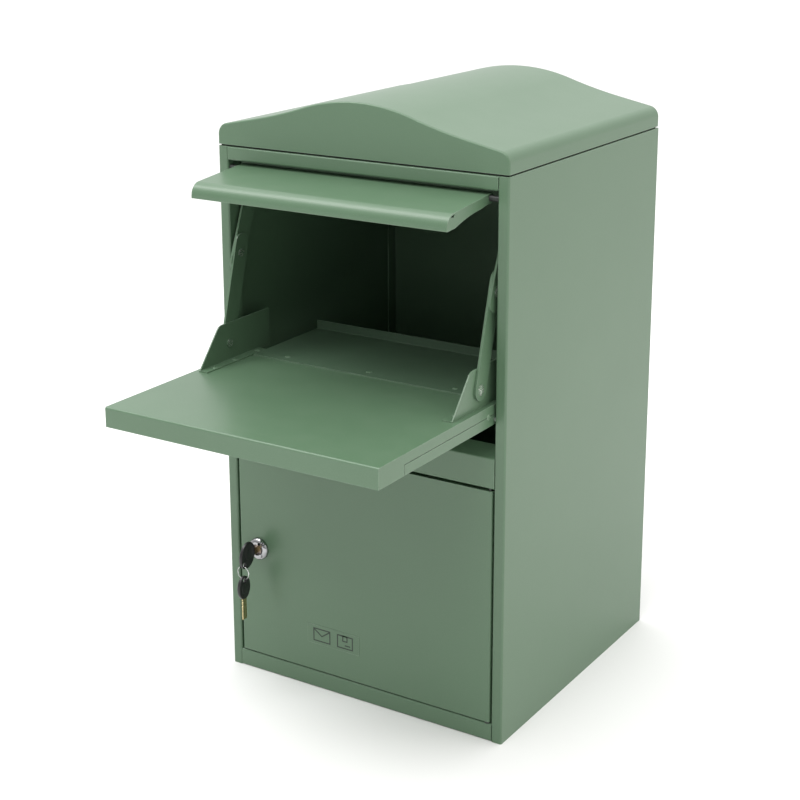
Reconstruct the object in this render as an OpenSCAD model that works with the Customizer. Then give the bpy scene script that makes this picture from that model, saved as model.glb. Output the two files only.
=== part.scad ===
// Parcel drop box of folded sheet steel. X is across the front, Y runs from the
// front to the back, Z is up. The origin is the centre of the underside of the base.

/* [Cabinet] */
// Width of the cabinet
body_w = 400; // [380:5:420]
// Depth of the cabinet
body_d = 396; // [380:2:420]
// Height of the cabinet below the lid
body_h = 686; // [680:1:700]
// Thickness of the steel sheet
sheet = 1.5; // [1.2:0.1:1.6]
// Width of the folded stile on each side of the front
stile_w = 14; // [13:0.5:16]
// How far each stile is folded back into the cabinet
stile_fold = 20; // [18:1:22]
// Depth of the forward flanges of the back panel
back_flange = 20; // [15:1:30]
// Bend radius at the middle of the sheet
bend_r = 1.75; // [1.25:0.25:2.5]

/* [Front rails] */
// Height of the rail above the parcel mouth
top_rail_h = 17; // [15:1:20]
// Depth of the return behind the top rail
top_return = 14; // [12:1:16]
// Height of the underside of the middle rail
mid_rail_z = 321; // [315:1:325]
// Height of the face of the middle rail
mid_rail_h = 37; // [34:1:40]
// Depth of the sloping sill behind the middle rail
sill_depth = 18; // [15:1:19]
// Rise of the sloping sill
sill_rise = 11; // [8:1:12]
// Height of the rail below the door
bottom_rail_h = 22.5; // [20:0.5:25]

/* [Lid] */
// Gap between the cabinet and the lid, filled by a foam gasket
lid_gap = 2; // [1.5:0.5:3]
// Height of the upright skirt of the lid
lid_skirt = 12; // [10:1:16]
// Height of the arch above the lower edge of the lid
lid_rise = 65; // [60:1:70]
// Outside radius of the rounded shoulder
lid_corner_r = 14; // [12:1:16]
// Slope of the shoulder in degrees
shoulder_angle = 11.5; // [10:0.5:13]
// Distance from the centre line to where the shoulder turns up into the arch
shoulder_x = 145; // [140:1:150]
// Steepest slope of the arch in degrees
arch_angle = 18; // [17.5:0.5:19]

/* [Parcel flap] */
// Width of the flap
flap_w = 368; // [360:1:368]
// Reach of the open flap in front of the cabinet
flap_reach = 239; // [200:1:239]
// Length of the flap behind the front of the cabinet
flap_tail = 38; // [34:1:38]
// Height of the underside of the open flap
flap_z = 400; // [398:1:402]
// Thickness of the flap
flap_t = 24; // [20:1:24]
// Distance of the flap pivot from the outer face and from the cabinet front
flap_pivot = 5; // [4.5:0.5:6]
// Diameter of the flap and hood pivot pins
pivot_d = 5; // [4:0.5:5]
// Reach of the tray behind the front of the cabinet
tray_reach = 150; // [120:5:160]

/* [Cheeks and stays] */
// Distance of the outer face of each cheek plate from the centre line
cheek_x = 176.75; // [174:0.25:176.75]
// Height of the cheek plate above the flap
cheek_h = 48; // [40:1:50]
// Start of the cheek in front of the cabinet
cheek_front = 80; // [70:1:90]
// End of the cheek behind the cabinet front
cheek_rear = 60; // [40:1:70]
// Width of the stay bars
stay_w = 24; // [22:1:24]
// Thickness of the stay bars
stay_t = 2.5; // [2:0.5:2.5]
// Diameter of the stay rivets and slot pins
stay_pin_d = 6; // [5:0.5:6]

/* [Hood] */
// Width of the hood
hood_w = 346; // [320:1:346]
// Height of the top of the hood sheet at the cabinet front
hood_z = 663.5; // [662:0.5:665]
// Droop of the hood in degrees
hood_droop = 5.4; // [4:0.2:7]
// Reach of the hood in front of the cabinet
hood_reach = 86.8; // [70:0.2:90]
// Radius of the rolled front edge
hood_roll = 14; // [10:1:14]
// Height of the lower edge of the rolled front
hood_lip_z = 638.6; // [636:0.2:642]

/* [Door] */
// Width of the door
door_w = 367; // [360:1:367]
// Height of the lower edge of the door
door_z = 24.5; // [24.5:0.5:26]
// Height of the upper edge of the door
door_top = 318; // [310:1:318]
// Depth of the door pan
door_t = 18; // [14:1:18]
// Distance of the hinge pins from the edge and the face of the door
door_pivot = 4; // [4:0.5:5]
// Diameter of the door hinge pins
door_pin_d = 4; // [3:0.5:4]

/* [Lock and keys] */
// Distance of the lock from the centre line
lock_x = 153.5; // [140:0.5:155]
// Height of the lock
lock_z = 170.9; // [100:0.1:240]
// Diameter of the bezel
bezel_d = 29; // [26:1:32]
// Diameter of the lock barrel
barrel_d = 18; // [16:1:19]
// Diameter of the key ring at the middle of its wire
ring_d = 17; // [15:1:20]

/* [Mounting holes] */
// Spacing of the floor anchor holes both ways
floor_pitch = 280; // [240:10:300]
// Diameter of the floor anchor holes
floor_hole_d = 11; // [9:1:13]
// Spacing of the wall holes across
wall_pitch_x = 280; // [240:10:300]
// Spacing of the wall holes up and down
wall_pitch_z = 440; // [400:10:480]
// Height of the middle of the wall holes
wall_hole_z = 370; // [350:5:400]
// Diameter of the wall holes
wall_hole_d = 9; // [7:1:11]

/* [Hidden] */

$fn = 48;
green = [0.44, 0.53, 0.45];
zinc = [0.72, 0.73, 0.72];
chrome = [0.85, 0.86, 0.88];
brass = [0.78, 0.63, 0.32];
black = [0.08, 0.08, 0.09];

// Radial clearance of a turning pin in its hole, and the gap between turning faces
running = 0.05;
face_gap = 0.1;
// How far a cutter reaches past the solid that it cuts
past = 1;
bend_steps = 6;
mouth_x = body_w / 2 - stile_w;
front_y = -body_d / 2;
back_y = body_d / 2;

// Lid: the corner, the end of the shoulder, and the two radii that join it to the crown
lid_z = body_h + lid_gap;
lid_top = lid_z + lid_rise;
corner_c = [body_w / 2 - lid_corner_r, lid_z + lid_skirt];
shoulder_end = corner_c + lid_corner_r * [sin(shoulder_angle), cos(shoulder_angle)];
shoulder_start = [shoulder_x, shoulder_end.y + (shoulder_end.x - shoulder_x) * tan(shoulder_angle)];
arch_sin = sin(arch_angle) - sin(shoulder_angle);
arch_cos = cos(shoulder_angle) - cos(arch_angle);
arch_drop = lid_top - shoulder_start.y;
arch_det = sin(arch_angle) * arch_cos - arch_sin * (1 - cos(arch_angle));
crown_r = (shoulder_x * arch_cos - arch_sin * arch_drop) / arch_det;
valley_r = (sin(arch_angle) * arch_drop - (1 - cos(arch_angle)) * shoulder_x) / arch_det;
crown_c = [0, lid_top - crown_r];
valley_c = shoulder_start + valley_r * [sin(shoulder_angle), cos(shoulder_angle)];
lid_flange = 16;
gasket_w = 12;
gasket_inset = 3;
lid_screw_d = 5;
lid_screw_x = body_w / 2 - 9;
lid_screw_y = 110;
lid_screw_places = [for (sx = [-1, 1], sy = [-1, 1]) [sx * lid_screw_x, sy * lid_screw_y]];

// Flap: the open flap lies level, with its outer face down
flap_front = behind(-flap_reach);
flap_rear = behind(flap_tail);
flap_top = flap_z + flap_t;
flap_seam = 0.8;
seam_y = flap_front + 50;
flap_axis = [behind(flap_pivot), flap_z + flap_pivot];
cheek_flange = 13;
cheek_corner_r = 12;
cheek_slope = 40;
cheek_rivet_x = cheek_x - 8;
cheek_rivet_places = [for (s = [-1, 1], d = [-60, -20, 26]) [s * cheek_rivet_x, behind(d)]];
tray_half = cheek_x - cheek_flange - 1;
tray_lap = 10;
tray_lip = 12;
tray_rivet_places = [for (x = [-120, 0, 120]) [x, behind(24)]];
side_rivet = [behind(-10.7), flap_z + flap_t / 2];
rivet_d = 4;

// Stays: each is two bars lapped and riveted at the knee. The upper end is slotted and
// slides on a fixed pin
stay_foot = [behind(-21), 446];
stay_knee = [behind(9), 554];
stay_fix = [behind(46), 647];
stay_dir = (stay_fix - stay_foot) / norm(stay_fix - stay_foot);
slot_start = 196.6;
slot_end = 216.3;
slot_from = stay_foot + slot_start * stay_dir;
slot_to = stay_foot + slot_end * stay_dir;
slot_w = 11.6;
stay_lap = 12;
stay_gap = 0.25;
lower_bar_x = cheek_x + stay_gap;
upper_bar_x = lower_bar_x + stay_t;
stay_head_d = 13;
bracket_x = body_w / 2 - 16;
bracket_half = 20;

// Hood: its own pivot lies just under the sheet
hood_axis = [behind(6), 659.6];
hood_tail = 13.75;
hood_tail_top = body_h - top_rail_h - 0.3;
// The ear around the pivot, at the back of each flange
hood_ear = [hood_axis + [-6, -6.6], hood_axis + [4, -6.6], hood_axis + [7.75, -2.6]];
// The lower edges of the hood's flanges are arcs that clear the tip of the closing flap
sweep_gap = 1.6;
sweep_r = norm([flap_reach + flap_pivot, flap_t - flap_pivot]) + sweep_gap;
arc_start = 70;
arc_end = 13;
spacer_d = 7;

// Door and lock
door_axis = [door_w / 2 - door_pivot, behind(door_pivot)];
plug_d = 12;
plug_square = 7;
barrel_end = 19;
cam_y = behind(20.6);
cam_t = 2.5;
cam_screw_d = 3;
cam_len = 38.5;
key_t = 2;
key_h = 7.5;
bow_t = 5;
bow_centre = [behind(-26), lock_z];
bow_hole = [behind(-34.5), 160.5];
hole_r = 3;
wire_d = 1.5;
ring_top = [behind(-34.5), 158.9];
ring_bottom = ring_top - [0, ring_d];
spare_hole = ring_bottom - [0, 1.6];
spare_centre = spare_hole - [0, 10];
blade_seat = 6;

// The Y of a point at a depth behind the cabinet front
function behind(d) = -body_d / 2 + d;
function unit(v) = v / norm(v);
function turned(v, a) = [v.x * cos(a) - v.y * sin(a), v.x * sin(a) + v.y * cos(a)];
function heading(v) = atan2(v.y, v.x);
function wrapped(a) = a > 180 ? a - 360 : a < -180 ? a + 360 : a;
function reversed(list) = [for (i = [len(list) - 1:-1:0]) list[i]];

// One bend of a folded sheet, at corner b of the path a-b-c, on the line that lies
// offset to the left of the middle of the sheet
function bend(a, b, c, r, offset) =
    let (u = unit(b - a),
         angle = wrapped(heading(c - b) - heading(u)),
         s = sign(angle),
         centre = b - u * r * tan(abs(angle) / 2) + s * r * turned(u, 90))
    [for (i = [0:bend_steps])
        centre + (r - s * offset) * turned(-s * turned(u, 90), angle * i / bend_steps)];

function sheet_side(path, radii, offset) =
    let (last = len(path) - 1)
    concat([path[0] + offset * turned(unit(path[1] - path[0]), 90)],
           [for (i = [1:last - 1]) each bend(path[i - 1], path[i], path[i + 1], radii[i - 1], offset)],
           [path[last] + offset * turned(unit(path[last] - path[last - 1]), 90)]);

// The outline of a sheet folded along a path, with a bend radius at each inner corner
module folded(path, radii) {
    polygon(concat(sheet_side(path, radii, sheet / 2),
                   reversed(sheet_side(path, radii, -sheet / 2))));
}

// A (y, z) outline drawn out along X, and an (x, z) outline drawn out along Y
module along_x(x0, x1) {
    translate([x0, 0, 0]) rotate([90, 0, 90]) linear_extrude(x1 - x0) children();
}
module along_y(y0, y1) {
    translate([0, y1, 0]) rotate([90, 0, 0]) linear_extrude(y1 - y0) children();
}
module block(low, high) {
    translate(low) cube(high - low);
}
module round_x(p, d, x0, x1) {
    translate([x0, p.x, p.y]) rotate([0, 90, 0]) cylinder(h = x1 - x0, d = d);
}
module round_y(p, d, y0, y1) {
    translate([p.x, y1, p.y]) rotate([90, 0, 0]) cylinder(h = y1 - y0, d = d);
}
module round_z(p, d, z0, z1) {
    translate([p.x, p.y, z0]) cylinder(h = z1 - z0, d = d);
}

// A bar with round ends, from p to q in the (y, z) plane
module bar(p, q, w, x0, x1) {
    steps = 16;
    a = heading(q - p);
    along_x(x0, x1)
        polygon([for (end = [[q, -90], [p, 90]], i = [0:steps])
            let (t = a + end[1] + 180 * i / steps) end[0] + w / 2 * [cos(t), sin(t)]]);
}

// A rivet along Z: domed head above z = 0, shank below it, and a flat tail
module rivet(grip, d, head_d, head_h, tail_d, tail_h) {
    cap_r = (pow(head_d / 2, 2) + pow(head_h, 2)) / (2 * head_h);
    cap_a = asin(head_d / 2 / cap_r);
    rotate_extrude()
        polygon(concat([[0, -grip - tail_h], [tail_d / 2, -grip - tail_h], [tail_d / 2, -grip],
                        [d / 2, -grip], [d / 2, 0]],
                       [for (i = [0:6]) [cap_r * sin(cap_a * (1 - i / 6)),
                                         head_h - cap_r + cap_r * cos(cap_a * (1 - i / 6))]]));
}

// --- Cabinet ---

module side_panel() {
    wall_x = body_w / 2 - sheet / 2;
    return_x = mouth_x + sheet / 2;
    difference() {
        linear_extrude(body_h)
            folded([[wall_x, back_y], [wall_x, front_y + sheet / 2],
                    [return_x, front_y + sheet / 2], [return_x, behind(stile_fold)]],
                   [bend_r, bend_r]);
        round_x(flap_axis, pivot_d, mouth_x - past, mouth_x + sheet + past);
        round_x(hood_axis, pivot_d, mouth_x - past, mouth_x + sheet + past);
    }
}

module right_side_panel() {
    color(green) side_panel();
}

module left_side_panel() {
    color(green) mirror([1, 0, 0]) side_panel();
}

module back_panel() {
    flange_x = body_w / 2 - sheet * 1.5;
    plate_y = back_y - sheet / 2;
    color(green) difference() {
        translate([0, 0, sheet]) linear_extrude(body_h - 2 * sheet)
            folded([[flange_x, back_y - back_flange], [flange_x, plate_y],
                    [-flange_x, plate_y], [-flange_x, back_y - back_flange]], [bend_r, bend_r]);
        for (sx = [-1, 1], sz = [-1, 1])
            round_y([sx * wall_pitch_x / 2, wall_hole_z + sz * wall_pitch_z / 2], wall_hole_d,
                    back_y - sheet - past, back_y + past);
    }
}

// Strips that carry a floor or roof plate out to the side walls behind the stiles
module side_strips(z) {
    for (s = [-1, 1])
        translate([s > 0 ? mouth_x : -mouth_x - stile_w + sheet, behind(stile_fold), z])
            cube([stile_w - sheet, body_d - stile_fold, sheet]);
}

module base_panel() {
    color(green) difference() {
        union() {
            along_x(-mouth_x, mouth_x)
                folded([[behind(stile_fold), bottom_rail_h - sheet / 2],
                        [front_y + sheet / 2, bottom_rail_h - sheet / 2],
                        [front_y + sheet / 2, sheet / 2], [back_y, sheet / 2]], [bend_r, bend_r]);
            side_strips(0);
        }
        for (sx = [-1, 1], sy = [-1, 1])
            round_z([sx, sy] * floor_pitch / 2, floor_hole_d, -past, sheet + past);
        round_z(door_axis, door_pin_d, bottom_rail_h - sheet - past, bottom_rail_h + past);
    }
}

module roof_panel() {
    rail_z = body_h - top_rail_h + sheet / 2;
    color(green) difference() {
        union() {
            along_x(-mouth_x, mouth_x)
                folded([[behind(top_return), rail_z], [front_y + sheet / 2, rail_z],
                        [front_y + sheet / 2, body_h - sheet / 2], [back_y, body_h - sheet / 2]],
                       [bend_r, bend_r]);
            side_strips(body_h - sheet);
        }
        for (p = lid_screw_places) round_z(p, lid_screw_d, body_h - sheet - past, body_h + past);
    }
}

// Right half of the lid's outline from the skirt to the crown, inset by the sheet
function lid_half(inset, z0) =
    concat([[body_w / 2 - inset, z0]],
           [for (i = [0:8]) let (a = (90 - shoulder_angle) * i / 8)
               corner_c + (lid_corner_r - inset) * [cos(a), sin(a)]],
           [for (i = [0:10]) let (a = shoulder_angle + (arch_angle - shoulder_angle) * i / 10)
               valley_c - (valley_r + inset) * [sin(a), cos(a)]],
           [for (i = [1:20]) let (a = arch_angle * (1 - i / 20))
               crown_c + (crown_r - inset) * [sin(a), cos(a)]]);
function mirrored(points) = [for (p = reversed(points)) if (p.x > 0.01) [-p.x, p.y]];

module lid_outline(inset, z0) {
    half = lid_half(inset, z0);
    polygon(concat(half, mirrored(half)));
}

module arched_lid() {
    color(green) difference() {
        along_y(front_y, back_y) lid_outline(0, lid_z);
        along_y(front_y + sheet, back_y - sheet) lid_outline(sheet, lid_z + sheet);
        block([-body_w / 2 + lid_flange, front_y + lid_flange, lid_z - past],
              [body_w / 2 - lid_flange, back_y - lid_flange, lid_z + sheet + past]);
        for (p = lid_screw_places) round_z(p, lid_screw_d, lid_z - past, lid_z + sheet + past);
    }
}

module lid_gasket() {
    outer = [body_w / 2 - gasket_inset, body_d / 2 - gasket_inset];
    inner = outer - [gasket_w, gasket_w];
    color(black) difference() {
        block([-outer.x, -outer.y, body_h], [outer.x, outer.y, lid_z]);
        block([-inner.x, -inner.y, body_h - past], [inner.x, inner.y, lid_z + past]);
        for (p = lid_screw_places) round_z(p, lid_screw_d, body_h - past, lid_z + past);
    }
}

module lid_screws() {
    head_d = 9;
    head_h = 3;
    color(zinc) for (p = lid_screw_places) {
        round_z(p, head_d, body_h - sheet - head_h, body_h - sheet);
        round_z(p, lid_screw_d, body_h - sheet, lid_z + sheet + 5);
    }
}

module lid_nuts() {
    nut_t = 4;
    nut_d = 9.2;
    color(zinc) for (p = lid_screw_places) difference() {
        translate([p.x, p.y, lid_z + sheet]) cylinder(h = nut_t, d = nut_d, $fn = 6);
        round_z(p, lid_screw_d, lid_z, lid_z + sheet + nut_t + past);
    }
}

module mid_rail() {
    face_y = front_y + sheet / 2;
    rail_top = mid_rail_z + mid_rail_h;
    color(green) difference() {
        along_x(-mouth_x, mouth_x)
            folded([[behind(stile_fold), mid_rail_z + sheet / 2], [face_y, mid_rail_z + sheet / 2],
                    [face_y, rail_top], [behind(sill_depth), rail_top + sill_rise]], [bend_r, bend_r]);
        round_z(door_axis, door_pin_d, mid_rail_z - past, mid_rail_z + sheet + past);
    }
}

// --- Pins and brackets on the cabinet ---

// One pivot pin on the right: pressed in the stile, with a countersunk head behind it
module pivot_pin(axis, x0) {
    head_d = 6.6;
    head_h = 2.5;
    cone_h = (head_d - pivot_d) / 2;
    head_x = mouth_x + sheet;
    round_x(axis, pivot_d, x0, head_x);
    translate([head_x, axis.x, axis.y]) rotate([0, 90, 0]) {
        cylinder(h = cone_h, d1 = pivot_d, d2 = head_d);
        translate([0, 0, cone_h]) cylinder(h = head_h - cone_h, d = head_d);
    }
}

module flap_pivot_pins() {
    color(zinc) for (s = [0, 1]) mirror([s, 0, 0]) pivot_pin(flap_axis, flap_w / 2 - sheet - 3);
}

module hood_pivot_pins() {
    color(zinc) for (s = [0, 1]) mirror([s, 0, 0]) pivot_pin(hood_axis, hood_w / 2 - sheet - 3);
}

module hood_spacers() {
    color(zinc) for (s = [0, 1]) mirror([s, 0, 0]) difference() {
        round_x(hood_axis, spacer_d, hood_w / 2 + 2 * face_gap, mouth_x);
        round_x(hood_axis, pivot_d, hood_w / 2 - past, mouth_x + past);
    }
}

// Pressed in the two rails; the lower one has a shoulder that carries the door
module door_hinge_pins() {
    shoulder_d = 8;
    pin_reach = 5;
    stub = 1;
    color(zinc) {
        round_z(door_axis, door_pin_d, bottom_rail_h - sheet - stub, door_z + sheet + pin_reach);
        round_z(door_axis, shoulder_d, bottom_rail_h, door_z - face_gap);
        round_z(door_axis, door_pin_d, door_top - sheet - pin_reach, mid_rail_z + sheet + stub);
    }
}

module stay_bracket() {
    low = stay_fix - [bracket_half, bracket_half];
    high = stay_fix + [bracket_half, bracket_half];
    wall_x = body_w / 2 - sheet;
    difference() {
        block([bracket_x, low.x, low.y], [wall_x, high.x, high.y]);
        block([bracket_x + sheet, low.x - past, low.y + sheet],
              [wall_x + past, high.x + past, high.y - sheet]);
        round_x(stay_fix, stay_pin_d, bracket_x - past, bracket_x + sheet + past);
    }
}

module right_stay_bracket() {
    color(green) stay_bracket();
}

module left_stay_bracket() {
    color(green) mirror([1, 0, 0]) stay_bracket();
}

module stay_slot_pins() {
    head_d = 16;
    head_x = upper_bar_x - face_gap;
    color(zinc) for (s = [0, 1]) mirror([s, 0, 0]) {
        round_x(stay_fix, head_d, head_x - 2, head_x);
        round_x(stay_fix, stay_pin_d, head_x, bracket_x + sheet);
        round_x(stay_fix, 9, bracket_x + sheet, bracket_x + sheet + 2);
    }
}

// --- Parcel flap ---

// A pair of side walls of the flap, between two depths and two heights
module flap_sides(y0, y1, z0, z1) {
    half = flap_w / 2;
    for (s = [-1, 1])
        translate([s > 0 ? half - sheet : -half, y0, z0]) cube([sheet, y1 - y0, z1 - z0]);
}

// The outer face of the flap: a pan that fits behind the front wall of the inner one
module flap_outer_pan() {
    half = flap_w / 2;
    front = flap_front + sheet + face_gap + sheet / 2;
    rear = flap_rear - sheet / 2;
    plate_z = flap_z + sheet / 2;
    seam_z = flap_z + flap_t / 2 - flap_seam / 2;
    open_x = half - sheet - face_gap;
    color(green) difference() {
        union() {
            along_x(-half, half)
                folded([[front, seam_z], [front, plate_z], [rear, plate_z], [rear, seam_z]],
                       [bend_r, bend_r]);
            flap_sides(seam_y, flap_rear - sheet, plate_z, seam_z);
        }
        for (x = [-half - past, open_x])
            block([x, flap_front, flap_z - past], [x + half + past - open_x, seam_y, flap_top]);
        round_x(flap_axis, pivot_d + 2 * running, -half - past, half + past);
        round_x(side_rivet, rivet_d, -half - past, half + past);
    }
}

// The inner face of the flap: a pan whose walls cover the whole front and the start of
// each side, and then end at a seam at mid thickness
module flap_inner_pan() {
    half = flap_w / 2;
    front = flap_front + sheet / 2;
    rear = flap_rear - sheet / 2;
    plate_z = flap_top - sheet / 2;
    seam_z = flap_z + flap_t / 2 + flap_seam / 2;
    color(green) difference() {
        union() {
            along_x(-half, half)
                folded([[front, flap_z], [front, plate_z], [rear, plate_z], [rear, seam_z]],
                       [bend_r, bend_r]);
            flap_sides(flap_front + sheet, seam_y - flap_seam, flap_z, plate_z);
            flap_sides(seam_y - flap_seam - sheet, flap_rear - sheet, seam_z, plate_z);
        }
        round_x(side_rivet, rivet_d, -half - past, half + past);
        for (p = concat(cheek_rivet_places, tray_rivet_places))
            round_z(p, rivet_d, flap_top - sheet - past, flap_top + past);
    }
}

module cheek() {
    foot_y = behind(-cheek_front);
    rear_y = behind(cheek_rear);
    edge_angle = 50;
    shoulder = [behind(-cheek_slope), flap_top + cheek_h];
    round_c = shoulder + [cheek_corner_r * tan(edge_angle / 2), -cheek_corner_r];
    difference() {
        union() {
            along_x(cheek_x - sheet, cheek_x)
                polygon(concat([[foot_y, flap_top], [rear_y, flap_top], [rear_y, shoulder.y]],
                               [for (i = [0:6]) round_c + cheek_corner_r
                                   * turned([0, 1], edge_angle * i / 6)]));
            block([cheek_x - cheek_flange, foot_y, flap_top],
                  [cheek_x, flap_rear, flap_top + sheet]);
        }
        round_x(stay_foot, stay_pin_d, cheek_x - sheet - past, cheek_x + past);
        for (p = cheek_rivet_places) round_z(p, rivet_d, flap_top - past, flap_top + sheet + past);
    }
}

module right_cheek() {
    color(green) cheek();
}

module left_cheek() {
    color(green) mirror([1, 0, 0]) cheek();
}

module chute_tray() {
    plate_z = flap_top + sheet / 2;
    color(green) difference() {
        along_x(-tray_half, tray_half)
            folded([[behind(tray_lap), plate_z], [behind(tray_reach) - sheet / 2, plate_z],
                    [behind(tray_reach) - sheet / 2, plate_z + tray_lip]], [bend_r]);
        for (p = tray_rivet_places) round_z(p, rivet_d, flap_top - past, flap_top + sheet + past);
    }
}

module flap_rivets() {
    head_d = 7.5;
    head_h = 1.3;
    color(zinc) {
        for (p = concat(cheek_rivet_places, tray_rivet_places))
            translate([p.x, p.y, flap_top + sheet])
                rivet(2 * sheet, rivet_d, head_d, head_h, 5.5, 1.5);
        for (s = [0, 1]) mirror([s, 0, 0])
            translate([flap_w / 2, side_rivet.x, side_rivet.y]) rotate([0, 90, 0])
                rivet(sheet, rivet_d, head_d, head_h, 5.5, 1.5);
    }
}

module stay_pivot_rivets() {
    color(zinc) for (s = [0, 1]) mirror([s, 0, 0])
        translate([lower_bar_x + stay_t + face_gap, stay_foot.x, stay_foot.y]) rotate([0, 90, 0])
            rivet(stay_t + face_gap + stay_gap + sheet, stay_pin_d, stay_head_d, 2, 10, 1.5);
}

// --- Stays ---

module stay_lower_bar() {
    difference() {
        bar(stay_foot, stay_knee + stay_lap * unit(stay_knee - stay_foot), stay_w,
            lower_bar_x, lower_bar_x + stay_t);
        round_x(stay_foot, stay_pin_d + 2 * running, lower_bar_x - past, lower_bar_x + stay_t + past);
        round_x(stay_knee, stay_pin_d, lower_bar_x - past, lower_bar_x + stay_t + past);
    }
}

module stay_upper_bar() {
    difference() {
        bar(stay_knee - stay_lap * unit(slot_to - stay_knee), slot_to, stay_w,
            upper_bar_x, upper_bar_x + stay_t);
        bar(slot_from, slot_to, slot_w, upper_bar_x - past, upper_bar_x + stay_t + past);
        round_x(stay_knee, stay_pin_d, upper_bar_x - past, upper_bar_x + stay_t + past);
    }
}

module stay_lap_rivet() {
    translate([upper_bar_x + stay_t, stay_knee.x, stay_knee.y]) rotate([0, 90, 0])
        rivet(2 * stay_t, stay_pin_d, stay_head_d, 2, 10, 1.2);
}

module right_stay_lower_bar() {
    color(green) stay_lower_bar();
}

module left_stay_lower_bar() {
    color(green) mirror([1, 0, 0]) stay_lower_bar();
}

module right_stay_upper_bar() {
    color(green) stay_upper_bar();
}

module left_stay_upper_bar() {
    color(green) mirror([1, 0, 0]) stay_upper_bar();
}

module right_stay_lap_rivet() {
    color(zinc) stay_lap_rivet();
}

module left_stay_lap_rivet() {
    color(zinc) mirror([1, 0, 0]) stay_lap_rivet();
}

// --- Hood ---

// Height of the middle of the hood sheet at a depth behind the front
function hood_mid(d) = hood_z - sheet / 2 + d * tan(hood_droop);
// A point on the swept arc at a depth behind the front
function swept(d) = [behind(d), flap_axis.y + sqrt(pow(sweep_r, 2) - pow(d - flap_pivot, 2))];

module hood_panel() {
    lip = -hood_reach + sheet / 2;
    path = [[behind(hood_tail), hood_tail_top], [behind(hood_tail), hood_mid(hood_tail)],
            [behind(lip), hood_mid(lip)], [behind(lip), hood_lip_z]];
    radii = [bend_r, hood_roll];
    half = hood_w / 2;
    flange = concat([[behind(hood_tail), hood_mid(hood_tail)]],
                    bend(path[1], path[2], path[3], hood_roll, 0), [path[3]],
                    [for (i = [0:6]) swept(-arc_start + (arc_start - arc_end) * i / 6)],
                    hood_ear);
    // A relief cut under the start of the roll, in both flanges
    under = bend(path[1], path[2], path[3], hood_roll, sheet / 2 + face_gap);
    relief = [[behind(-70), hood_mid(-70) - sheet / 2 - face_gap], under[0], under[1], under[2],
              [behind(-73), hood_mid(-73) - 4]];
    color(green) difference() {
        union() {
            along_x(-half, half) folded(path, radii);
            for (s = [-1, 1])
                along_x(s > 0 ? half - sheet : -half, s > 0 ? half : -half + sheet)
                    polygon(flange);
        }
        round_x(hood_axis, pivot_d + 2 * running, -half - past, half + past);
        along_x(-half - past, half + past) polygon(relief);
    }
}

// --- Door ---

module door_panel() {
    half = door_w / 2;
    face = front_y + sheet / 2;
    rear = behind(door_t);
    color(green) difference() {
        union() {
            translate([0, 0, door_z]) linear_extrude(door_top - door_z)
                folded([[half - sheet / 2, rear], [half - sheet / 2, face],
                        [-half + sheet / 2, face], [-half + sheet / 2, rear]], [bend_r, bend_r]);
            for (z = [door_z, door_top - sheet])
                block([-half + sheet, front_y + sheet / 2, z], [half - sheet, rear, z + sheet]);
        }
        for (z = [door_z, door_top - sheet])
            round_z(door_axis, door_pin_d + 2 * running, z - past, z + sheet + past);
        round_y([-lock_x, lock_z], barrel_d, front_y - past, front_y + sheet + past);
    }
}

// Two hat-section stiffeners spot-welded to the back of the door skin
module door_stiffeners() {
    stiffener_x = 70;
    end_gap = 14;
    hat_w = 30;
    hat_flange = 12;
    hat_y = behind(12);
    skin = front_y + sheet;
    color(green) for (x = [-stiffener_x, stiffener_x])
        translate([0, 0, door_z + end_gap]) linear_extrude(door_top - door_z - 2 * end_gap)
            translate([x, 0])
                folded([[-hat_w / 2 - hat_flange, skin + sheet / 2], [-hat_w / 2, skin + sheet / 2],
                        [-hat_w / 2, hat_y], [hat_w / 2, hat_y],
                        [hat_w / 2, skin + sheet / 2], [hat_w / 2 + hat_flange, skin + sheet / 2]],
                       [bend_r, bend_r, bend_r, bend_r]);
}

// Rubber bumpers on the free edge of the door pan
module door_bumpers() {
    size = [6, 9.5, 12];
    bumper_x = -door_w / 2 + sheet;
    color(black) for (z = [door_z + 24, door_top - 36])
        translate([bumper_x, behind(door_t - 8), z]) cube(size);
}

// A thin plate for a printed mark, bonded to the face of the door
module door_label_plate() {
    size = [78, 0.4, 26];
    color(green) translate([-80, front_y - size.y, 61]) cube(size);
}

// --- Lock and keys ---

// A domed bezel and a barrel in one piece, with two notches across the dome
module lock_housing() {
    dome_h = 6.5;
    mouth_r = 7.5;
    rim_r = bezel_d / 2;
    rim_h = 1.5;
    bore_r = plug_d / 2 + running;
    notch_w = 3.2;
    color(chrome) translate([-lock_x, front_y, lock_z]) rotate([90, 0, 0]) difference() {
        rotate_extrude()
            polygon(concat([[bore_r, -barrel_end], [barrel_d / 2, -barrel_end],
                            [barrel_d / 2, 0], [rim_r, 0], [rim_r, rim_h]],
                           [for (i = [1:8]) [mouth_r + (rim_r - mouth_r) * cos(90 * i / 8),
                                             rim_h + (dome_h - rim_h) * sin(90 * i / 8)]],
                           [[bore_r, 2]]));
        for (a = [45, 225]) rotate([0, 0, a])
            translate([mouth_r - 1, -notch_w / 2, dome_h / 2]) cube([rim_r, notch_w, dome_h]);
    }
}

module lock_nut() {
    nut_t = 5;
    color(zinc) difference() {
        translate([-lock_x, front_y + sheet + nut_t, lock_z]) rotate([90, 30, 0])
            cylinder(h = nut_t, d = 27, $fn = 6);
        round_y([-lock_x, lock_z], barrel_d, front_y, behind(barrel_end));
    }
}

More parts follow.
